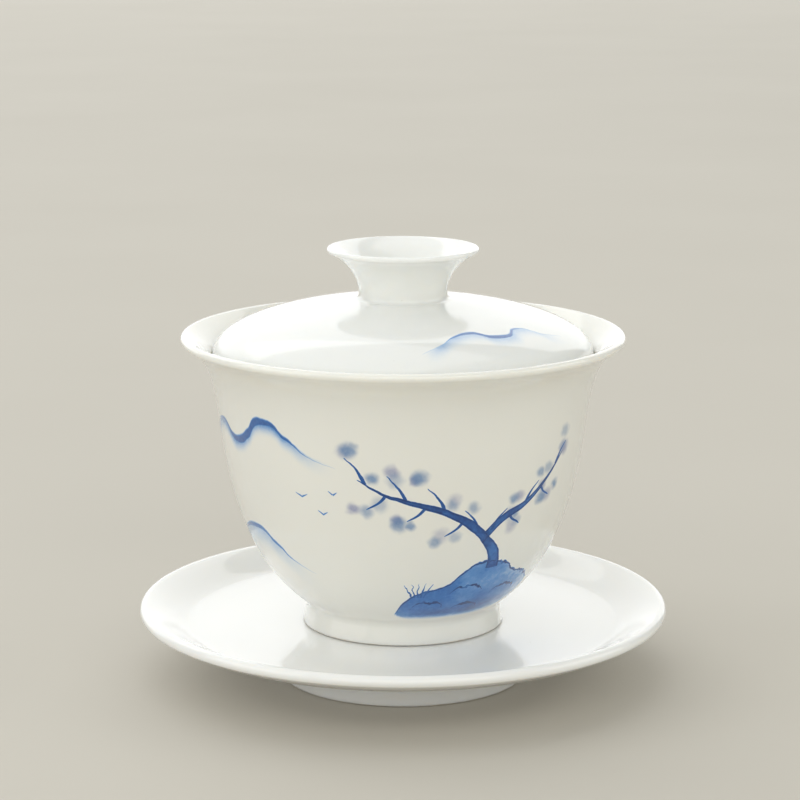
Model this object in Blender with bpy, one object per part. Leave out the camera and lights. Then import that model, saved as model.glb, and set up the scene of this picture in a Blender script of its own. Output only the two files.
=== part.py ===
"""Gaiwan: a lidded porcelain tea bowl that stands in its own saucer.

Three loose pieces of turned porcelain, each a surface of revolution about +Z:
the saucer, the bowl with its foot ring, and the lid with its flared knob.
The origin is the middle of the saucer's foot, on the surface it stands on.
Units are metres, and a profile is a list of (radius, height) pairs.
"""

import math

import bmesh
import bpy
from mathutils import Vector
from mathutils.geometry import interpolate_bezier

MM = 0.001
SIDES = 40                      # facets round every turned piece
GAP = 0.3 * MM                  # air between two pieces that touch

# Saucer
SAUCER_RADIUS = 58.0 * MM
SAUCER_HEIGHT = 16.5 * MM
SAUCER_LIP = 1.25 * MM          # radius of the rolled edge
SAUCER_SEAT_RADIUS = 42.0 * MM  # flat middle on which the bowl stands
SAUCER_SEAT_HEIGHT = 11.9 * MM
SAUCER_BAND_RADIUS = 47.5 * MM  # where the dish turns up into its rim band
SAUCER_BAND_HEIGHT = 12.1 * MM
SAUCER_FOOT_RADIUS = 27.4 * MM
SAUCER_FOOT_WIDTH = 2.8 * MM
SAUCER_FOOT_ROOT = 4.6 * MM     # height at which the foot meets the underside
SAUCER_RECESS = 7.9 * MM        # height of the ceiling inside the foot

# Bowl
BOWL_FOOT_RADIUS = 22.0 * MM
BOWL_FOOT_WIDTH = 2.8 * MM
BOWL_FOOT_HEIGHT = 4.7 * MM
BOWL_RECESS_DEPTH = 2.8 * MM
BOWL_FLOOR_THICKNESS = 3.2 * MM
BOWL_FOOT_WALL = 2.7 * MM
BOWL_LIP_WALL = 1.8 * MM
BOWL_NECK_RADIUS = 40.1 * MM
BOWL_NECK_HEIGHT = 58.0 * MM
BOWL_LIP_RADIUS = 47.8 * MM     # where the flare meets the rolled lip
BOWL_LIP_HEIGHT = 74.65 * MM

# Lid
LID_EDGE_RADIUS = 41.3 * MM
LID_EDGE_HEIGHT = 72.2 * MM    # middle of the rounded edge that sits in the flare
LID_WALL = 2.1 * MM
LID_CROWN_RADIUS = 10.6 * MM    # where the dome runs into the knob's root
LID_CROWN_HEIGHT = 83.7 * MM
KNOB_NECK_RADIUS = 9.6 * MM
KNOB_NECK_HEIGHT = 85.4 * MM
KNOB_LIP_RADIUS = 16.15 * MM
KNOB_LIP_HEIGHT = 93.9 * MM
KNOB_NECK_WALL = 2.4 * MM
KNOB_LIP_WALL = 1.7 * MM
KNOB_FLOOR_HEIGHT = 84.6 * MM

CORNER = 0.6 * MM               # rounding of the foot rings' corners


def clear_scene():
    for item in list(bpy.data.objects):
        bpy.data.objects.remove(item, do_unlink=True)


def curve(start, handle_a, handle_b, end, steps):
    """Points along one cubic Bezier stretch of a profile, both ends included."""
    corners = [Vector((radius, height, 0.0)) for radius, height in (start, handle_a, handle_b, end)]
    return [(point.x, point.y) for point in interpolate_bezier(*corners, steps + 1)]


def arc(middle, radius, first_angle, last_angle, steps):
    """Points along a round stretch; angles in degrees, 0 pointing outwards, 90 up."""
    points = []
    for step in range(steps + 1):
        angle = math.radians(first_angle + (last_angle - first_angle) * step / steps)
        points.append((middle[0] + radius * math.cos(angle), middle[1] + radius * math.sin(angle)))
    return points


def direction(points, index):
    """Unit direction of a profile at one of its points."""
    before = points[max(index - 1, 0)]
    after = points[min(index + 1, len(points) - 1)]
    run = Vector((after[0] - before[0], after[1] - before[1]))
    return run.normalized()


def offset(points, first_wall, last_wall):
    """The profile moved to its left by a wall that tapers from its first to its last point."""
    moved = []
    for index, (radius, height) in enumerate(points):
        along = direction(points, index)
        wall = first_wall + (last_wall - first_wall) * index / (len(points) - 1)
        moved.append((radius - along.y * wall, height + along.x * wall))
    return moved


def lip(outside, inside, steps):
    """A half-round edge from the end of one wall face to the start of the other."""
    middle = ((outside[0] + inside[0]) / 2, (outside[1] + inside[1]) / 2)
    radius = math.dist(outside, inside) / 2
    first_angle = math.degrees(math.atan2(outside[1] - middle[1], outside[0] - middle[0]))
    return arc(middle, radius, first_angle, first_angle + 180.0, steps)


def foot_ring(outer_radius, width, bottom):
    """The ring's bottom edge, from its inner wall round to its outer wall."""
    inner_radius = outer_radius - width
    return (arc((inner_radius + CORNER, bottom + CORNER), CORNER, 180, 270, 2)
            + arc((outer_radius - CORNER, bottom + CORNER), CORNER, 270, 360, 2))


def foot_recess(outer_radius, width, ceiling):
    """The hollow inside a foot ring, from the axis out to the ring's inner wall."""
    wall_radius = outer_radius - width
    fillet = 1.2 * MM
    return [(0.0, ceiling)] + arc((wall_radius - fillet, ceiling - fillet), fillet, 90, 0, 3)


def without_repeats(points):
    kept = [points[0]]
    for point in points[1:]:
        if math.dist(point, kept[-1]) > 0.01 * MM:
            kept.append(point)
    return kept


def porcelain(name, colour, roughness):
    material = bpy.data.materials.new(name)
    material.use_nodes = True
    shader = material.node_tree.nodes["Principled BSDF"]
    shader.inputs["Base Color"].default_value = (*colour, 1.0)
    shader.inputs["Roughness"].default_value = roughness
    shader.inputs["Metallic"].default_value = 0.0
    shader.inputs["Coat Weight"].default_value = 0.4
    return material


def turn(name, profile, material):
    """Spins a profile that starts and ends on the axis into one closed piece."""
    points = without_repeats(profile)
    shape = bmesh.new()
    ring = [shape.verts.new((radius, 0.0, height)) for radius, height in points]
    edges = [shape.edges.new(pair) for pair in zip(ring, ring[1:])]
    bmesh.ops.spin(shape, geom=ring + edges, cent=(0, 0, 0), axis=(0, 0, 1),
                   angle=math.tau, steps=SIDES, use_merge=True)
    bmesh.ops.remove_doubles(shape, verts=shape.verts, dist=0.001 * MM)
    bmesh.ops.recalc_face_normals(shape, faces=shape.faces)
    mesh = bpy.data.meshes.new(name)
    shape.to_mesh(mesh)
    shape.free()
    mesh.shade_smooth()
    mesh.set_sharp_from_angle(angle=math.radians(40))
    mesh.materials.append(material)
    piece = bpy.data.objects.new(name, mesh)
    bpy.context.collection.objects.link(piece)
    return piece


def saucer():
    """A shallow dish with a flat seat, a turned-up rim band and a foot ring."""
    lip_middle = (SAUCER_RADIUS - SAUCER_LIP, SAUCER_HEIGHT - SAUCER_LIP)
    root = (SAUCER_FOOT_RADIUS + 0.4 * MM, SAUCER_FOOT_ROOT - 0.6 * MM)
    edge = arc(lip_middle, SAUCER_LIP, -62, 112, 6)
    underside = curve(root, (root[0] + 0.6 * MM, root[1] + 2.4 * MM),
                      (edge[0][0] - 11 * MM, edge[0][1] - 6.2 * MM), edge[0], 8)
    band_start = (SAUCER_BAND_RADIUS, SAUCER_BAND_HEIGHT)
    band = curve(edge[-1], (edge[-1][0] - 3.2 * MM, edge[-1][1] - 1.3 * MM),
                 (band_start[0] + 2.4 * MM, band_start[1] + 0.6 * MM), band_start, 4)
    seat_edge = (SAUCER_SEAT_RADIUS, SAUCER_SEAT_HEIGHT)
    dish = curve(band_start, (band_start[0] - 2 * MM, band_start[1] - 0.15 * MM),
                 (seat_edge[0] + 2 * MM, seat_edge[1]), seat_edge, 3)
    profile = (foot_recess(SAUCER_FOOT_RADIUS, SAUCER_FOOT_WIDTH, SAUCER_RECESS)
               + foot_ring(SAUCER_FOOT_RADIUS, SAUCER_FOOT_WIDTH, 0.0)
               + underside + edge + band + dish + [(0.0, SAUCER_SEAT_HEIGHT)])
    return turn("saucer", profile, porcelain("saucer_porcelain", (0.86, 0.87, 0.86), 0.1))


def bowl():
    """A rounded belly on a foot ring, drawn up to a neck and a flared lip."""
    bottom = SAUCER_SEAT_HEIGHT + GAP
    root = (BOWL_FOOT_RADIUS - 0.6 * MM, bottom + BOWL_FOOT_HEIGHT)
    neck = (BOWL_NECK_RADIUS, BOWL_NECK_HEIGHT)
    belly = curve(root, (root[0] + 8.7 * MM, root[1] + 6.6 * MM),
                  (neck[0] - 2.95 * MM, neck[1] - 24.8 * MM), neck, 10)
    rim = (BOWL_LIP_RADIUS, BOWL_LIP_HEIGHT)
    flare = curve(neck, (neck[0] + 1.55 * MM, neck[1] + 12.95 * MM),
                  (rim[0] - 3.45 * MM, rim[1] - 2.4 * MM), rim, 8)
    outside = belly + flare[1:]
    inside = offset(outside, BOWL_FOOT_WALL, BOWL_LIP_WALL)[2:]
    inside.reverse()
    ceiling = bottom + BOWL_RECESS_DEPTH
    floor = ceiling + BOWL_FLOOR_THICKNESS
    low = inside[-1]
    basin = curve(low, (low[0] - 4.2 * MM, low[1] - 4.6 * MM), (10 * MM, floor), (0.0, floor), 5)
    profile = (foot_recess(BOWL_FOOT_RADIUS, BOWL_FOOT_WIDTH, ceiling)
               + foot_ring(BOWL_FOOT_RADIUS, BOWL_FOOT_WIDTH, bottom)
               + outside + lip(outside[-1], inside[0], 5) + inside + basin)
    return turn("bowl", profile, porcelain("bowl_porcelain", (0.84, 0.85, 0.82), 0.08))


def lid():
    """A thin dome whose edge sits in the bowl's flare, with a hollow flared knob."""
    edge = (LID_EDGE_RADIUS, LID_EDGE_HEIGHT)
    crown = (LID_CROWN_RADIUS, LID_CROWN_HEIGHT)
    dome = curve(edge, (edge[0] - 0.5 * MM, edge[1] + 6.7 * MM),
                 (crown[0] + 13.4 * MM, crown[1] - 1.1 * MM), crown, 10)
    hollow = offset(dome, LID_WALL, LID_WALL)
    hollow.reverse()
    ceiling = [(0.0, hollow[0][1] + 0.2 * MM)]
    neck = (KNOB_NECK_RADIUS, KNOB_NECK_HEIGHT)
    knob_lip = (KNOB_LIP_RADIUS, KNOB_LIP_HEIGHT)
    root = curve(crown, (crown[0] - 0.9 * MM, crown[1] + 0.1 * MM),
                 (neck[0], neck[1] - 0.9 * MM), neck, 3)
    knob = curve(neck, (neck[0], neck[1] + 1.1 * MM),
                 (knob_lip[0] - 5.8 * MM, knob_lip[1] - 2.9 * MM), knob_lip, 8)
    cup = offset(knob, KNOB_NECK_WALL, KNOB_LIP_WALL)
    cup.reverse()
    floor = [(cup[-1][0] - 1.6 * MM, KNOB_FLOOR_HEIGHT), (0.0, KNOB_FLOOR_HEIGHT)]
    profile = (ceiling + hollow + lip(hollow[-1], dome[0], 5) + dome + root + knob
               + lip(knob[-1], cup[0], 5) + cup + floor)
    return turn("lid", profile, porcelain("lid_porcelain", (0.86, 0.88, 0.87), 0.08))


clear_scene()
saucer()
bowl()
lid()
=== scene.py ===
import math
import random

import bmesh
import bpy
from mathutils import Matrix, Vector
from mathutils.geometry import interpolate_bezier


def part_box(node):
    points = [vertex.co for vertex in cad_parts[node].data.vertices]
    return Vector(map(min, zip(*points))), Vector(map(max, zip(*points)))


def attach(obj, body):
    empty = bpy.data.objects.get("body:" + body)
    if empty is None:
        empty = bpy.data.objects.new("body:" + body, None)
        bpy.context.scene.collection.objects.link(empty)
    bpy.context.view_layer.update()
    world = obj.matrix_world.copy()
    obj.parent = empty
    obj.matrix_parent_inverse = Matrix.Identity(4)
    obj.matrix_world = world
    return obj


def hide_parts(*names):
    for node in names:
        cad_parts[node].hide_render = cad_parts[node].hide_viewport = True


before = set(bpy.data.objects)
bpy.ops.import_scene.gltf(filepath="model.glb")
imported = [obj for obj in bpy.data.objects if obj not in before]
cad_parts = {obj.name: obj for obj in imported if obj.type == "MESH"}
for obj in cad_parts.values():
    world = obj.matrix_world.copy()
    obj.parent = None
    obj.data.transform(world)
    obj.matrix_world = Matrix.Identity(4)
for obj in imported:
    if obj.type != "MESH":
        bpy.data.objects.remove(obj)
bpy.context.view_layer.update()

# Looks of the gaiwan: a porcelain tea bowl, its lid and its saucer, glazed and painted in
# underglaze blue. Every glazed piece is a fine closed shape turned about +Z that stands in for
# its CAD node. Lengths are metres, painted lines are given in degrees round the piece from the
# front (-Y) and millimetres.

MM = 0.001
saucer_low, saucer_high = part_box("saucer")
bowl_low, bowl_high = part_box("bowl")
lid_low, lid_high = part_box("lid")

SIDES = 288                     # facets round every turned piece
STEPS = 5                       # how much finer a profile is than its CAD node's
FOOT_DROP = 0.2 * MM            # how far the glazed foot reaches into the gap over the saucer
LID_WALL = 2.1 * MM

# The bowl's white is tinted towards cream. The tint is painted warm bounce light from a wooden table;
# the lid and saucer keep a plain white.
BOWL_WHITE_WITH_PAINTED_BOUNCE = (0.83, 0.825, 0.775)
LID_WHITE = (0.84, 0.85, 0.83)
SAUCER_WHITE = (0.85, 0.855, 0.845)
IRON_BROWN = (0.42, 0.36, 0.28)
CLAY_STOPS = [(0.3, (0.66, 0.62, 0.55)), (0.7, (0.78, 0.75, 0.69))]
FLOOR_STOPS = [(0.3, (0.60, 0.57, 0.51)), (0.7, (0.615, 0.585, 0.525))]
# cobalt by strength, from a thin wash to a full brush
INK_STOPS = [(0.0, (0.44, 0.62, 0.83)), (0.28, (0.17, 0.38, 0.70)), (0.55, (0.038, 0.18, 0.50)),
             (0.78, (0.010, 0.090, 0.33)), (1.0, (0.004, 0.034, 0.16))]
MAUVE_PETAL = (0.22, 0.25, 0.45)
COOL_PETAL = (0.10, 0.23, 0.45)
DAB_SOFTNESS = 1.3              # width of a dab's soft edge in radii
PETAL_STRENGTH = 1.2
BODY_ROUGHNESS = 0.22           # of the porcelain under its clear coat
GLOSS_IOR = 1.5

COLOUR_A, COLOUR_B, COLOUR_OUT = 6, 7, 2    # colour sockets of the Mix node


# ---------------------------------------------------------------- profiles

def curve(start, handle_a, handle_b, end, steps):
    """Points along one cubic Bezier stretch of a profile, both ends included."""
    corners = [Vector((radius, height, 0.0)) for radius, height in (start, handle_a, handle_b, end)]
    return [(point.x, point.y) for point in interpolate_bezier(*corners, steps * STEPS + 1)]


def arc(middle, radius, first_angle, last_angle, steps):
    """Points along a round stretch; angles in degrees, 0 pointing outwards, 90 up."""
    points = []
    for step in range(steps * STEPS + 1):
        angle = math.radians(first_angle + (last_angle - first_angle) * step / (steps * STEPS))
        points.append((middle[0] + radius * math.cos(angle), middle[1] + radius * math.sin(angle)))
    return points


def direction(points, index):
    """Which way the profile runs at one of its points."""
    before = points[max(index - 1, 0)]
    after = points[min(index + 1, len(points) - 1)]
    return Vector((after[0] - before[0], after[1] - before[1])).normalized()


def offset(points, first_wall, last_wall):
    """The profile moved to its left by a wall that tapers from its first to its last point."""
    moved = []
    for index, (radius, height) in enumerate(points):
        along = direction(points, index)
        wall = first_wall + (last_wall - first_wall) * index / (len(points) - 1)
        moved.append((radius - along.y * wall, height + along.x * wall))
    return moved


def lip(outside, inside, steps):
    """A half-round edge from the end of one wall face to the start of the other."""
    middle = ((outside[0] + inside[0]) / 2, (outside[1] + inside[1]) / 2)
    radius = math.dist(outside, inside) / 2
    first_angle = math.degrees(math.atan2(outside[1] - middle[1], outside[0] - middle[0]))
    return arc(middle, radius, first_angle, first_angle + 180.0, steps)


def foot_ring(outer_radius, width, bottom, corner):
    """The two round corners at the bottom of a foot ring."""
    inner_radius = outer_radius - width
    return (arc((inner_radius + corner, bottom + corner), corner, 180, 270, 1)
            + arc((outer_radius - corner, bottom + corner), corner, 270, 360, 1))


def foot_recess(outer_radius, width, ceiling):
    """The hollow inside a foot ring, from the axis to the ring's inner wall."""
    wall_radius = outer_radius - width
    fillet = 1.2 * MM
    return [(0.0, ceiling)] + arc((wall_radius - fillet, ceiling - fillet), fillet, 90, 0, 1)


def spread(start, end, steps):
    """Evenly spaced points on a straight stretch, without its two ends."""
    return [(start[0] + (end[0] - start[0]) * step / steps,
             start[1] + (end[1] - start[1]) * step / steps) for step in range(1, steps)]


def saucer_profile():
    radius, height = saucer_high.x, saucer_high.z
    roll = 1.25 * MM
    foot_radius, foot_width, foot_root = 27.4 * MM, 2.8 * MM, 4.6 * MM
    foot_corner, recess = 0.9 * MM, 7.9 * MM
    root = (foot_radius + 0.4 * MM, foot_root - 0.6 * MM)
    edge = arc((radius - roll, height - roll), roll, -62, 112, 3)
    underside = curve(root, (root[0] + 0.6 * MM, root[1] + 2.4 * MM),
                      (edge[0][0] - 11 * MM, edge[0][1] - 6.2 * MM), edge[0], 8)
    band_start = (47.5 * MM, 12.1 * MM)
    band = curve(edge[-1], (edge[-1][0] - 3.2 * MM, edge[-1][1] - 1.3 * MM),
                 (band_start[0] + 2.4 * MM, band_start[1] + 0.6 * MM), band_start, 4)
    seat_edge = (42.0 * MM, 11.9 * MM)
    dish = curve(band_start, (band_start[0] - 2 * MM, band_start[1] - 0.15 * MM),
                 (seat_edge[0] + 2 * MM, seat_edge[1]), seat_edge, 3)
    centre = (0.0, seat_edge[1])
    return (foot_recess(foot_radius, foot_width, recess)
            + foot_ring(foot_radius, foot_width, 0.0, foot_corner)
            + underside + edge + band + dish + spread(seat_edge, centre, 14) + [centre])


def bowl_profile():
    bottom = bowl_low.z - FOOT_DROP
    foot_radius, foot_width, foot_corner = 22.0 * MM, 2.8 * MM, 0.4 * MM
    low_wall, rim_wall = 2.7 * MM, 1.8 * MM
    basin_top = bottom + 11.0 * MM
    root = (foot_radius - 0.6 * MM, bowl_low.z + 4.7 * MM)
    neck = (40.1 * MM, 58.0 * MM)
    rim = (47.8 * MM, 74.65 * MM)
    fillet = curve((root[0], root[1] - 1.3 * MM), (root[0], root[1] - 0.5 * MM),
                   (root[0] + 0.4 * MM, root[1] + 0.35 * MM),
                   (root[0] + 1.3 * MM, root[1] + 0.99 * MM), 1)
    belly = curve(root, (root[0] + 8.7 * MM, root[1] + 6.6 * MM),
                  (neck[0] - 2.95 * MM, neck[1] - 24.8 * MM), neck, 10)
    belly = fillet + [point for point in belly if point[1] > fillet[-1][1] + 0.1 * MM]
    flare = curve(neck, (neck[0] + 1.55 * MM, neck[1] + 12.95 * MM),
                  (rim[0] - 3.45 * MM, rim[1] - 2.4 * MM), rim, 8)
    outside = belly + flare[1:]
    inside = [point for point in offset(outside, low_wall, rim_wall) if point[1] > basin_top]
    inside.reverse()
    ceiling = bottom + 2.8 * MM
    floor = ceiling + 3.2 * MM
    low = inside[-1]
    basin = curve(low, (low[0] - 3.6 * MM, low[1] - 3.6 * MM), (10 * MM, floor), (0.0, floor), 5)
    return (foot_recess(foot_radius, foot_width, ceiling)
            + foot_ring(foot_radius, foot_width, bottom, foot_corner)
            + outside + lip(outside[-1], inside[0], 3) + inside + basin)


def lid_profile():
    edge = (lid_high.x, 72.2 * MM)
    crown = (10.6 * MM, 83.7 * MM)
    neck = (9.6 * MM, 85.4 * MM)
    knob_lip = (16.15 * MM, 93.9 * MM)
    neck_wall, lip_wall = 2.4 * MM, 1.1 * MM
    cup_floor = 84.6 * MM
    dome = curve(edge, (edge[0] - 0.5 * MM, edge[1] + 6.7 * MM),
                 (crown[0] + 13.4 * MM, crown[1] - 1.1 * MM), crown, 10)
    hollow = offset(dome, LID_WALL, LID_WALL)
    hollow.reverse()
    ceiling = (0.0, hollow[0][1] + 0.2 * MM)
    root = curve(crown, (crown[0] - 0.9 * MM, crown[1] + 0.1 * MM),
                 (neck[0], neck[1] - 0.9 * MM), neck, 3)
    knob = curve(neck, (neck[0], neck[1] + 1.1 * MM),
                 (knob_lip[0] - 5.8 * MM, knob_lip[1] - 2.9 * MM), knob_lip, 8)
    cup = offset(knob, neck_wall, lip_wall)
    cup.reverse()
    floor = curve(cup[-1], (cup[-1][0], cup[-1][1] - 0.9 * MM),
                  (cup[-1][0] - 1.2 * MM, cup_floor), (0.0, cup_floor), 2)
    return ([ceiling] + spread(ceiling, hollow[0], 5) + hollow + lip(hollow[-1], dome[0], 3)
            + dome + root + knob + lip(knob[-1], cup[0], 3) + cup + floor)


def turn(name, profile, material):
    """Spins a profile that starts and ends on the axis into one closed, smooth piece."""
    points = [profile[0]]
    for point in profile[1:]:
        if math.dist(point, points[-1]) > 0.02 * MM:
            points.append(point)
    points[-1] = profile[-1]
    shape = bmesh.new()
    ring = [shape.verts.new((0.0, radius, height)) for radius, height in points]
    edges = [shape.edges.new(pair) for pair in zip(ring, ring[1:])]
    bmesh.ops.spin(shape, geom=ring + edges, cent=(0, 0, 0), axis=(0, 0, 1),
                   angle=math.tau, steps=SIDES, use_merge=True)
    bmesh.ops.remove_doubles(shape, verts=shape.verts, dist=0.001 * MM)
    bmesh.ops.recalc_face_normals(shape, faces=shape.faces)
    mesh = bpy.data.meshes.new(name)
    shape.to_mesh(mesh)
    shape.free()
    mesh.shade_smooth()
    mesh.materials.append(material)
    piece = bpy.data.objects.new(name, mesh)
    bpy.context.collection.objects.link(piece)
    return piece


# ---------------------------------------------------------------- shader maths

class Shader:
    """Short names for the nodes of one material."""

    def __init__(self, name):
        self.material = bpy.data.materials.new(name)
        self.material.use_nodes = True
        self.tree = self.material.node_tree
        self.surface = self.tree.nodes["Principled BSDF"]
        self.place = self.node("ShaderNodeTexCoord").outputs["Object"]
        parts = self.node("ShaderNodeSeparateXYZ")
        self.join(self.place, parts.inputs[0])
        self.x, self.y, self.z = parts.outputs

    def node(self, kind):
        return self.tree.nodes.new(kind)

    def join(self, source, target):
        if isinstance(source, (int, float)):
            target.default_value = source
        else:
            self.tree.links.new(source, target)

    def maths(self, operation, *values, clamp=False):
        node = self.node("ShaderNodeMath")
        node.operation = operation
        node.use_clamp = clamp
        for value, socket in zip(values, node.inputs):
            self.join(value, socket)
        return node.outputs[0]

    def fit(self, value, low, high, first=0.0, last=1.0, smooth=True):
        """The value mapped from low..high to first..last, held at the ends."""
        node = self.node("ShaderNodeMapRange")
        node.interpolation_type = "SMOOTHSTEP" if smooth else "LINEAR"
        for source, socket in zip((value, low, high, first, last), node.inputs):
            self.join(source, socket)
        return node.outputs[0]

    def noise(self, scale, detail=2.0, roughness=0.5):
        node = self.node("ShaderNodeTexNoise")
        self.join(self.place, node.inputs["Vector"])
        node.inputs["Scale"].default_value = scale
        node.inputs["Detail"].default_value = detail
        node.inputs["Roughness"].default_value = roughness
        return node.outputs["Fac"]

    def along(self, amount, points):
        """A smooth curve through (position, value) pairs, both from 0 to 1."""
        node = self.node("ShaderNodeFloatCurve")
        line = node.mapping.curves[0]
        for index, (position, value) in enumerate(points):
            if index < 2:
                line.points[index].location = (position, value)
            else:
                line.points.new(position, value)
        for point in line.points:
            point.handle_type = "AUTO_CLAMPED"
        node.mapping.update()
        self.join(amount, node.inputs["Value"])
        return node.outputs[0]

    def ramp(self, amount, stops):
        node = self.node("ShaderNodeValToRGB")
        stop_list = node.color_ramp.elements
        while len(stop_list) < len(stops):
            stop_list.new(0.5)
        for stop, (position, colour) in zip(stop_list, stops):
            stop.position = position
            stop.color = (*colour, 1.0)
        self.join(amount, node.inputs[0])
        return node.outputs["Color"]

    def blend(self, amount, first, second):
        """The first colour turning into the second as the amount goes from 0 to 1."""
        node = self.node("ShaderNodeMix")
        node.data_type = "RGBA"
        self.join(amount, node.inputs["Factor"])
        for source, socket in ((first, node.inputs[COLOUR_A]), (second, node.inputs[COLOUR_B])):
            if isinstance(source, tuple):
                socket.default_value = (*source, 1.0)
            else:
                self.tree.links.new(source, socket)
        return node.outputs[COLOUR_OUT]


class Brush:
    """Strokes, washes and dabs of pigment on a surface with two painting coordinates.

    across is in degrees round the piece, up is in millimetres, and one degree is taken
    as DEGREE millimetres of glaze.
    """

    DEGREE = 0.64

    def __init__(self, shader, across, up):
        self.shader = shader
        self.across = across
        self.up = up
        level = shader.node("ShaderNodeCombineXYZ")
        shader.join(shader.maths("MULTIPLY", across, self.DEGREE), level.inputs[0])
        shader.join(up, level.inputs[1])
        self.flat = level.outputs[0]
        self.patchy = shader.fit(shader.noise(330.0, 2.0), 0.35, 0.6, 0.35, 1.0)

    def guide(self, points):
        """Height of a line through (across, up) points, at this place across."""
        first, last = points[0][0], points[-1][0]
        low = min(up for _, up in points)
        span = max(max(up for _, up in points) - low, 0.01)
        progress = self.shader.fit(self.across, first, last, smooth=False)
        line = self.shader.along(progress, [((across - first) / (last - first), (up - low) / span)
                                            for across, up in points])
        return self.shader.maths("MULTIPLY_ADD", line, span, low)

    def stroke(self, points, edge=0.14, hollow=0.0):
        """Ink of one brush stroke through (across, up, half width) points.

        A hollow stroke is lighter inside, as if drawn in outline and filled with a wash.
        """
        rise = abs(points[-1][1] - points[0][1])
        steep = rise > 0.9 * abs(points[-1][0] - points[0][0]) * self.DEGREE
        if steep:
            rows = [(up, across * self.DEGREE, width) for across, up, width in points]
            run, side = self.up, self.shader.maths("MULTIPLY", self.across, self.DEGREE)
            scale = 1.0
        else:
            rows = list(points)
            run, side, scale = self.across, self.up, self.DEGREE
        rows.sort()
        first, last = rows[0][0], rows[-1][0]
        low = min(row[1] for row in rows)
        span = max(max(row[1] for row in rows) - low, 0.01)
        widths = []
        for index, (_, _, width) in enumerate(rows):
            before, after = rows[max(index - 1, 0)], rows[min(index + 1, len(rows) - 1)]
            slope = (after[1] - before[1]) / ((after[0] - before[0]) * scale)
            widths.append(width * math.hypot(1.0, slope))
        widest = max(widths)
        progress = self.shader.fit(run, first, last, smooth=False)
        middle = self.shader.along(progress, [((row[0] - first) / (last - first),
                                               (row[1] - low) / span) for row in rows])
        width = self.shader.along(progress, [(0.0, 0.0)]
                                  + [(0.01 + 0.98 * (row[0] - first) / (last - first), wide / widest)
                                     for row, wide in zip(rows, widths)] + [(1.0, 0.0)])
        centre = self.shader.maths("MULTIPLY_ADD", middle, span, low)
        away = self.shader.maths("ABSOLUTE", self.shader.maths("SUBTRACT", side, centre))
        depth = self.shader.maths("MULTIPLY_ADD", width, widest,
                                  self.shader.maths("MULTIPLY", away, -1.0))
        ink = self.shader.maths("MULTIPLY", depth, 1.0 / edge, clamp=True)
        if hollow:
            inner = self.shader.fit(depth, 0.22, 0.75, 0.0, -hollow)
            ink = self.shader.maths("MULTIPLY_ADD", inner, self.patchy, ink)
        return ink

    def dab(self, across, up, radius, softness):
        """Ink of one round touch of the brush, soft towards its edge."""
        node = self.shader.node("ShaderNodeVectorMath")
        node.operation = "DISTANCE"
        self.shader.tree.links.new(self.flat, node.inputs[0])
        node.inputs[1].default_value = (across * self.DEGREE, up, 0.0)
        return self.shader.fit(node.outputs["Value"],
                               radius * (1 + softness / 2), radius * (1 - softness / 2))

    def most(self, inks):
        """The strongest of several inks at each place."""
        total = inks[0]
        for ink in inks[1:]:
            total = self.shader.maths("MAXIMUM", total, ink)
        return total


# ---------------------------------------------------------------- porcelain

def glaze(shader, body_colour):
    """Clear gloss glaze over fine white porcelain, a little uneven."""
    surface = shader.surface
    surface.inputs["IOR"].default_value = GLOSS_IOR
    surface.inputs["Coat Weight"].default_value = 1.0
    surface.inputs["Coat Roughness"].default_value = 0.03
    surface.inputs["Coat IOR"].default_value = GLOSS_IOR
    surface.inputs["Specular IOR Level"].default_value = 0.25
    surface.inputs["Subsurface Weight"].default_value = 0.6
    surface.inputs["Subsurface Radius"].default_value = (1.0, 0.92, 0.82)
    surface.inputs["Subsurface Scale"].default_value = 2.5 * MM
    cloud = shader.noise(24.0, 1.0)
    duller = tuple(value * 0.985 for value in body_colour)
    tint = shader.ramp(cloud, [(0.3, duller), (0.7, body_colour)])
    specks = shader.node("ShaderNodeTexVoronoi")
    shader.join(shader.place, specks.inputs["Vector"])
    specks.inputs["Scale"].default_value = 210.0
    iron = shader.fit(specks.outputs["Distance"], 0.045, 0.015, 0.0, 0.35)
    few = shader.fit(shader.noise(55.0, 0.0), 0.60, 0.66)
    tint = shader.blend(shader.maths("MULTIPLY", iron, few), tint, IRON_BROWN)
    rough = shader.fit(shader.noise(30.0, 1.0), 0.3, 0.7, BODY_ROUGHNESS - 0.03, BODY_ROUGHNESS + 0.03)
    shader.join(rough, surface.inputs["Roughness"])
    return tint


def glaze_relief(shader, bare=None):
    """Long shallow waves of the glaze, and the grain of the bare clay where there is no glaze."""
    height = shader.maths("MULTIPLY", shader.noise(45.0, 0.0), 0.5)
    if bare is not None:
        grain = shader.maths("MULTIPLY", shader.noise(4200.0, 5.0, 0.7), 0.25)
        height = shader.maths("MULTIPLY_ADD", grain, bare, height)
    bump = shader.node("ShaderNodeBump")
    bump.inputs["Strength"].default_value = 0.3
    bump.inputs["Distance"].default_value = 0.2 * MM
    shader.join(height, bump.inputs["Height"])
    shader.join(bump.outputs[0], shader.surface.inputs["Normal"])


def bare_ring(shader, bottom, colour):
    """How bare the clay is at a foot ring's bottom edge, and the colour with that clay in it."""
    wobble = shader.fit(shader.noise(150.0), 0.3, 0.7, -0.1 * MM, 0.1 * MM)
    height = shader.maths("ADD", shader.z, wobble)
    bare = shader.fit(height, bottom + 0.4 * MM, bottom + 0.2 * MM)
    clay = shader.ramp(shader.noise(900.0, 4.0), CLAY_STOPS)
    surface = shader.surface
    gloss = surface.inputs["Roughness"].links[0].from_socket
    rougher = shader.maths("MULTIPLY_ADD", bare, 0.5, gloss, clamp=True)
    shader.join(rougher, surface.inputs["Roughness"])
    shader.join(shader.fit(bare, 0.0, 1.0, 1.0, 0.0), surface.inputs["Coat Weight"])
    return bare, shader.blend(bare, colour, clay)


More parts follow.
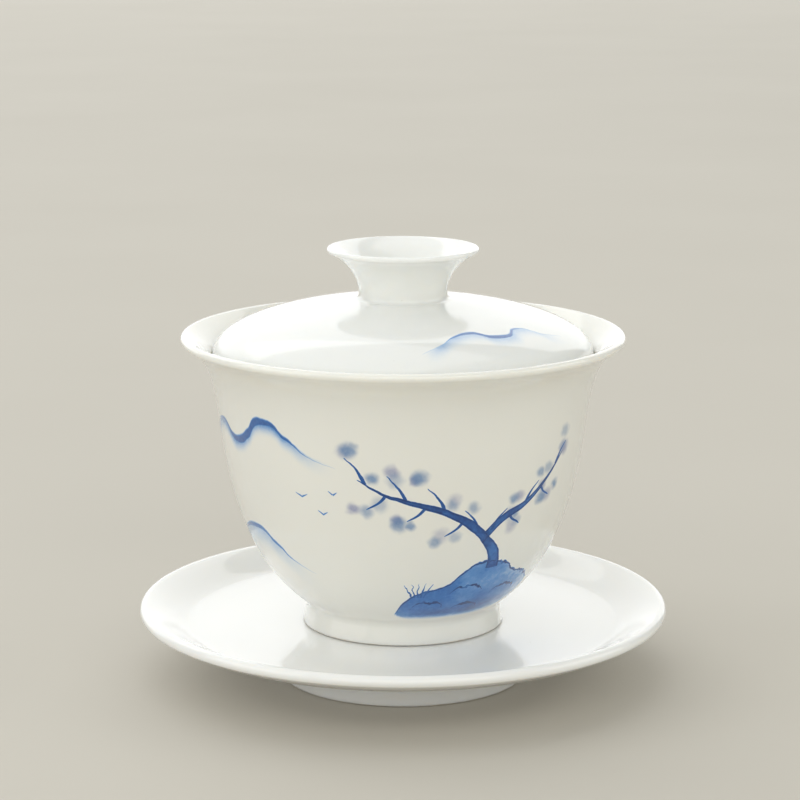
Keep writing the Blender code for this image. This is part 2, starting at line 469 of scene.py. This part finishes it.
def inked(shader, colour, blue, cool=None, mauve=None):
    """The body colour seen through cobalt of some strength, and through pale grey-blue dabs."""
    speckle = shader.noise(1300.0, 3.0, 0.6)
    uneven = shader.fit(speckle, 0.25, 0.75, 0.88, 1.1, smooth=False)
    for petals, shade in ((mauve, MAUVE_PETAL), (cool, COOL_PETAL)):
        if petals is not None:
            veil = shader.maths("MULTIPLY", petals, uneven, clamp=True)
            colour = shader.blend(veil, colour, shade)
    strength = shader.maths("MULTIPLY", blue, uneven, clamp=True)
    cover = shader.fit(strength, 0.0, 0.4, 0.0, 1.0, smooth=False)
    return shader.blend(cover, colour, shader.ramp(strength, INK_STOPS))


def degrees_round(shader):
    """Angle round the axis in degrees, 0 at the front, positive to the viewer's right."""
    turned = shader.maths("ARCTAN2", shader.x, shader.maths("MULTIPLY", shader.y, -1.0))
    return shader.maths("MULTIPLY", turned, 180.0 / math.pi)


# ---------------------------------------------------------------- painting on the bowl

# A plain stock landscape: two hills, a plum tree on a mound, grass and three birds. Strokes are
# (degrees, millimetres, half width), dabs (degrees, millimetres, radius, strength).

def crest(ridge, width):
    """A stroke that follows a ridge line and swells in the middle."""
    last = len(ridge) - 1
    return [(across, up - 0.5 * width, 0.1 + width * math.sin(math.pi * index / last) ** 2)
            for index, (across, up) in enumerate(ridge)]


def level_at(stroke, across):
    """Height of a stroke's middle at a place across."""
    rows = sorted(stroke)
    for (start, low, _), (end, high, _) in zip(rows, rows[1:]):
        if across <= end:
            return low + (high - low) * (across - start) / (end - start)
    return rows[-1][1]


def shoots(bough, count, reach, tip_lean):
    """Thin shoots that leave a bough by turns above and below it, at even steps."""
    first, last = min(bough)[0], max(bough)[0]
    strokes = []
    for index in range(count):
        across = first + (last - first) * (index + 0.4) / count
        up = level_at(bough, across)
        side = 1 if index % 2 == 0 else -0.55
        strokes.append([(across, up, 0.42), (across + 0.4 * tip_lean, up + 0.55 * side * reach, 0.3),
                        (across + tip_lean, up + side * reach, 0.12)])
    return strokes


def blossoms(strokes, seed, each):
    """Pale round dabs scattered about the tips of the shoots."""
    chance = random.Random(seed)
    return [(shoot[-1][0] + chance.uniform(-4.5, 4.5), shoot[-1][1] + chance.uniform(-1.6, 2.6),
             chance.uniform(1.0, 1.6), chance.uniform(0.32, 0.68))
            for shoot in strokes for _ in range(each)]


def bird(across, up, span):
    """Two wing strokes that meet in a point."""
    body = (across, up, 0.24)
    return [[(across - span, up + 0.9, 0.08), body], [body, (across + span, up + 0.7, 0.06)]]


def crease(start, up):
    """One fold of the rock, drawn from left to right."""
    return [(start, up, 0.15), (start + 5, up + 1.6, 0.4), (start + 11, up + 1.4, 0.45),
            (start + 15, up - 0.2, 0.12)]


def blade(across, lean):
    """One blade of grass on the mound."""
    foot = 24.6
    return [(across, foot, 0.32), (across + 0.5 * lean, foot + 2, 0.24),
            (across + lean, 28.8 - 0.2 * abs(lean), 0.08)]


FAR_RIDGE = [(-88, 54.0), (-79, 58.5), (-71, 60.5), (-62, 57.5), (-54, 59.5), (-46, 63.0),
             (-38, 60.5), (-28, 56.5), (-20, 55.0)]
NEAR_RIDGE = [(-92, 30.0), (-80, 33.0), (-69, 37.0), (-60, 38.0), (-51, 35.5), (-42, 31.5),
              (-34, 29.5)]
TRUNK = [(34.0, 31.0, 1.7), (33.4, 33.6, 1.5), (31.2, 36.4, 1.3), (27.0, 39.2, 1.0)]
BOUGH = [(-14, 52.5, 0.15), (-5, 49.0, 0.4), (4, 47.2, 0.6), (13, 45.2, 0.8), (22, 42.0, 1.0),
         (29.5, 37.6, 1.1)]
SIDE_BOUGH = [(27.5, 38.6, 1.0), (34, 42.6, 0.9), (42, 45.0, 0.7), (50, 49.2, 0.45),
              (58, 55.0, 0.15)]
SHOOTS = shoots(BOUGH, 7, 5.6, -6.0) + shoots(SIDE_BOUGH, 5, 4.6, 5.0)
COOL_BLOSSOMS = blossoms(SHOOTS, 5, 2)
MAUVE_BLOSSOMS = blossoms(SHOOTS, 12, 1)
BIRDS = bird(-33, 47.5, 2.2) + bird(-26, 44.0, 1.8) + bird(-22, 48.6, 1.5)
ROCK_TOP = [(-4, 20.0), (2, 24.2), (9, 26.2), (16, 27.0), (23, 30.6), (31, 32.6), (39, 32.0),
            (48, 28.8), (56, 27.4), (66, 22.5)]
ROCK_BASE = [(-4, 19.6), (8, 17.6), (22, 17.2), (38, 17.6), (52, 18.8), (66, 22.0)]
ROCK_LEFT, ROCK_RIGHT = ROCK_TOP[0][0], ROCK_TOP[-1][0]
ROCK_LINES = [crease(start, up) for start, up in ((3, 21.6), (19, 25.4), (22, 20.6), (39, 24.0))]
ROCK_SHADE = [[(2, 19.6, 0.8), (16, 20.2, 2.2), (30, 20.6, 2.8), (46, 21.0, 2.0), (60, 22.0, 0.5)]]
GRASS = [blade(across, lean)
         for across, lean in ((3.4, -3.0), (4.6, -1.4), (5.8, 0.3), (7.0, 1.6), (8.2, 3.2))]


def bowl_material():
    shader = Shader("bowl_glaze")
    # The bowl's body colour carries the painted cream bounce light as well as the porcelain's white.
    colour = glaze(shader, BOWL_WHITE_WITH_PAINTED_BOUNCE)
    height = shader.maths("MULTIPLY", shader.z, 1000.0)
    angle = degrees_round(shader)

    def brush_in(scale, detail, sway, lift):
        """A brush whose line sways by some degrees, and by lift times that in millimetres."""
        shake = shader.fit(shader.noise(scale, detail), 0.25, 0.75, -sway, sway, smooth=False)
        return Brush(shader, shader.maths("ADD", angle, shake),
                     shader.maths("MULTIPLY_ADD", shake, lift, height))

    brush = brush_in(260.0, 3.0, 0.3, 0.5)
    craggy = brush_in(620.0, 2.0, 0.55, 0.8)
    wet = brush_in(480.0, 1.0, 0.6, 0.4)
    gaps = shader.fit(shader.noise(520.0, 1.0), 0.32, 0.46, 0.7, 1.0)

    def drawn(strokes, strength, edge=0.14, hollow=0.0, tool=brush):
        ink = tool.most([tool.stroke(points, edge, hollow) for points in strokes])
        return shader.maths("MULTIPLY", ink, strength)

    def dabbed(touches):
        return wet.most([shader.maths("MULTIPLY", wet.dab(across, up, radius, DAB_SOFTNESS), strength)
                         for across, up, radius, strength in touches])

    def below(ridge, depth, strength, tail):
        """A wash that starts at a ridge line and fades out downwards and towards its far end."""
        under = shader.maths("SUBTRACT", brush.guide(ridge), brush.up)
        start = shader.fit(under, -0.1, 0.3)
        fade = shader.fit(under, depth, 0.0, 0.0, strength)
        first, last = ridge[0][0], ridge[-1][0]
        inside = shader.maths("MULTIPLY", shader.fit(brush.across, first, first + 6),
                              shader.fit(brush.across, last, last - tail))
        return shader.maths("MULTIPLY", shader.maths("MULTIPLY", start, fade), inside)

    under_top = shader.maths("SUBTRACT", craggy.guide(ROCK_TOP), craggy.up)
    top = shader.fit(under_top, -0.1, 0.15)
    base = shader.fit(shader.maths("SUBTRACT", brush.up, brush.guide(ROCK_BASE)), -0.5, 0.6)
    sides = shader.maths("MULTIPLY", shader.fit(brush.across, ROCK_LEFT, ROCK_LEFT + 1.0),
                         shader.fit(brush.across, ROCK_RIGHT, ROCK_RIGHT - 5))
    rock_area = shader.maths("MULTIPLY", shader.maths("MULTIPLY", top, base), sides)
    mottle = shader.fit(shader.noise(120.0, 4.0, 0.6), 0.32, 0.68, 0.40, 0.60)
    pale_end = shader.fit(brush.across, 30, 62, 0.0, -0.14)
    tone = shader.maths("ADD", shader.maths("ADD", mottle, pale_end),
                        drawn(ROCK_SHADE, 0.22, edge=2.2))
    rock = shader.maths("MULTIPLY", rock_area, tone)
    rim_line = shader.fit(shader.maths("ABSOLUTE", under_top), 0.42, 0.12, 0.0, 0.95)
    rim_part = shader.maths("MULTIPLY", shader.fit(brush.across, ROCK_LEFT - 0.6, ROCK_LEFT + 0.8),
                            shader.fit(brush.across, ROCK_RIGHT, ROCK_RIGHT - 10))
    rock_edge = shader.maths("MULTIPLY", shader.maths("MULTIPLY", rim_line, rim_part), gaps)

    inks = [
        rock,
        rock_edge,
        shader.maths("MULTIPLY", drawn(ROCK_LINES, 0.98, edge=0.2, tool=craggy), gaps),
        drawn([TRUNK, BOUGH, SIDE_BOUGH], 0.96, edge=0.16, hollow=0.34),
        drawn(SHOOTS, 0.8),
        drawn([crest(FAR_RIDGE, 1.1)], 0.72, edge=0.6),
        drawn([crest(NEAR_RIDGE, 0.8)], 0.6, edge=0.6),
        drawn(BIRDS, 0.5),
        drawn(GRASS, 0.72, tool=craggy),
        below(FAR_RIDGE, 4.2, 0.5, 24),
        below(NEAR_RIDGE, 7.0, 0.3, 24),
    ]
    radius = shader.maths("MULTIPLY", radius_of(shader), 1000.0)
    outside = shader.fit(shader.maths("SUBTRACT", radius, wall_line(shader)), -0.2, 0.0, smooth=False)
    blue = shader.maths("MULTIPLY", brush.most(inks), outside)
    petals = shader.maths("MULTIPLY", outside, PETAL_STRENGTH)
    cool = shader.maths("MULTIPLY", dabbed(COOL_BLOSSOMS), petals)
    mauve = shader.maths("MULTIPLY", dabbed(MAUVE_BLOSSOMS), petals)
    colour = inked(shader, colour, blue, cool, mauve)
    bare, colour = bare_ring(shader, bowl_low.z - FOOT_DROP, colour)
    glaze_relief(shader, bare)
    shader.join(colour, shader.surface.inputs["Base Color"])
    return shader.material


def radius_of(shader):
    """Distance from the axis."""
    return shader.maths("SQRT", shader.maths("ADD", shader.maths("POWER", shader.x, 2.0),
                                             shader.maths("POWER", shader.y, 2.0)))


def wall_line(shader):
    """Radius in millimetres, at this height, of a line in the middle of the bowl's wall."""
    foot_radius, belly_start, half_wall = 20, 17.2, 1.4
    step, widest = 3.0, 60.0
    outer = {}
    for radius, height in bowl_profile():
        if radius > foot_radius * MM and height > belly_start * MM:
            slot = round(height / MM / step)
            outer[slot] = max(outer.get(slot, 0.0), radius / MM)
    rows = sorted(outer.items())
    first, last = rows[0][0] * step, rows[-1][0] * step
    height = shader.maths("MULTIPLY", shader.z, 1000.0)
    progress = shader.fit(height, first, last, smooth=False)
    line = shader.along(progress, [((slot * step - first) / (last - first),
                                    (radius - half_wall) / widest) for slot, radius in rows])
    return shader.maths("MULTIPLY", line, widest)


# ---------------------------------------------------------------- painting on the lid

# On the lid, up is minus the radius in millimetres, so it grows towards the knob.
LID_RIDGE = [(6, -35.5), (14, -32.5), (21, -29.5), (28, -28.5), (36, -31.0), (43, -31.5),
             (51, -29.5), (60, -33.5), (68, -36.0)]
RIDGE_LEFT, RIDGE_RIGHT = LID_RIDGE[0][0], LID_RIDGE[-1][0]


def lid_material():
    shader = Shader("lid_glaze")
    colour = glaze(shader, LID_WHITE)
    inwards = shader.maths("MULTIPLY", radius_of(shader), -1000.0)
    shaky = shader.fit(shader.noise(260.0, 3.0), 0.25, 0.75, -0.4, 0.4, smooth=False)
    brush = Brush(shader, shader.maths("ADD", degrees_round(shader), shaky), inwards)
    line = brush.stroke(crest(LID_RIDGE, 0.8), 0.5)
    under = shader.maths("SUBTRACT", brush.guide(LID_RIDGE), brush.up)
    wash = shader.maths("MULTIPLY", shader.fit(under, 0.0, 0.4),
                        shader.fit(under, 5.0, 0.0, 0.0, 0.3))
    ends = shader.maths("MULTIPLY", shader.fit(brush.across, RIDGE_LEFT, RIDGE_LEFT + 8),
                        shader.fit(brush.across, RIDGE_RIGHT, RIDGE_RIGHT - 14))
    ink = shader.maths("MAXIMUM", shader.maths("MULTIPLY", line, 0.72),
                       shader.maths("MULTIPLY", wash, ends))
    above = shader.fit(dome_height(shader), -1.4 * MM, -1.0 * MM, smooth=False)
    blue = shader.maths("MULTIPLY", ink, above)
    colour = inked(shader, colour, blue)
    glaze_relief(shader)
    shader.join(colour, shader.surface.inputs["Base Color"])
    return shader.material


def dome_height(shader):
    """Height of this place over the lid's upper face, which falls as the square of the radius."""
    crown, fall = 83.9 * MM, -4.1
    square = shader.maths("POWER", radius_of(shader), 2.0)
    return shader.maths("SUBTRACT", shader.z, shader.maths("MULTIPLY_ADD", square, fall, crown))


def saucer_material():
    shader = Shader("saucer_glaze")
    colour = glaze(shader, SAUCER_WHITE)
    bare, colour = bare_ring(shader, 0.0, colour)
    glaze_relief(shader, bare)
    shader.join(colour, shader.surface.inputs["Base Color"])
    return shader.material


saucer_piece = turn("saucer_glazed", saucer_profile(), saucer_material())
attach(saucer_piece, "saucer")
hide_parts("saucer")

bowl_piece = turn("bowl_glazed", bowl_profile(), bowl_material())
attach(bowl_piece, "bowl")
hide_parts("bowl")

lid_piece = turn("lid_glazed", lid_profile(), lid_material())
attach(lid_piece, "lid")
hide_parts("lid")


# ---------------------------------------------------------------- floor, light and camera

FLOOR_REACH = 5.0               # half the side of the floor
LAMP_TARGET = Vector((0.0, 0.0, 50 * MM))
EYE_PITCH = 0.2055              # radians below level


def floor():
    shader = Shader("pale_floor")
    cloud = shader.noise(6.0, 3.0)
    colour = shader.ramp(cloud, FLOOR_STOPS)
    shader.join(colour, shader.surface.inputs["Base Color"])
    shader.surface.inputs["Roughness"].default_value = 0.8
    shader.surface.inputs["Specular IOR Level"].default_value = 0.2
    shape = bmesh.new()
    bmesh.ops.create_grid(shape, x_segments=8, y_segments=8, size=FLOOR_REACH)
    mesh = bpy.data.meshes.new("floor")
    shape.to_mesh(mesh)
    shape.free()
    mesh.materials.append(shader.material)
    piece = bpy.data.objects.new("floor", mesh)
    bpy.context.collection.objects.link(piece)


def softbox(name, place, width, height, radiance, colour):
    """A soft light facing the tea bowl, as bright as a white sheet of that radiance."""
    data = bpy.data.lights.new(name, "AREA")
    data.shape = "RECTANGLE"
    data.size = width
    data.size_y = height
    data.energy = radiance * math.pi * width * height
    data.color = colour
    light = bpy.data.objects.new(name, data)
    light.location = place
    light.rotation_euler = (LAMP_TARGET - Vector(place)).to_track_quat("-Z", "Y").to_euler()
    bpy.context.collection.objects.link(light)


def daylight():
    """An even sky and large soft windows: position, width, height, radiance and colour."""
    world = bpy.data.worlds.new("room")
    world.use_nodes = True
    sky = world.node_tree.nodes["Background"]
    sky.inputs["Color"].default_value = (0.82, 0.84, 0.80, 1.0)
    sky.inputs["Strength"].default_value = 0.45
    bpy.context.scene.world = world
    softbox("window_back", (-0.6, 3.0, 1.45), 6.4, 3.2, 0.98, (1.0, 1.0, 1.0))
    softbox("window_left", (-2.4, -1.0, 1.0), 2.4, 1.7, 1.45, (1.0, 1.0, 1.0))
    softbox("window_right", (2.6, -0.2, 1.0), 2.2, 1.7, 1.25, (1.0, 0.99, 0.95))
    softbox("overhead", (-0.8, 0.4, 2.3), 3.3, 3.4, 0.68, (1.0, 1.0, 1.0))
    softbox("room_front", (0.2, -2.5, 1.1), 4.0, 2.0, 1.38, (1.0, 0.985, 0.94))


def camera():
    data = bpy.data.cameras.new("camera")
    data.sensor_width = 36.0
    data.lens = 120.2
    data.clip_start = 0.01
    data.dof.use_dof = False
    eye = bpy.data.objects.new("camera", data)
    eye.location = (-0.65 * MM, -570 * MM, 180 * MM)
    eye.rotation_euler = (math.pi / 2 - EYE_PITCH, 0.0, 0.0)
    bpy.context.collection.objects.link(eye)
    bpy.context.scene.camera = eye


floor()
daylight()
camera()
bpy.context.scene.view_settings.view_transform = "Standard"
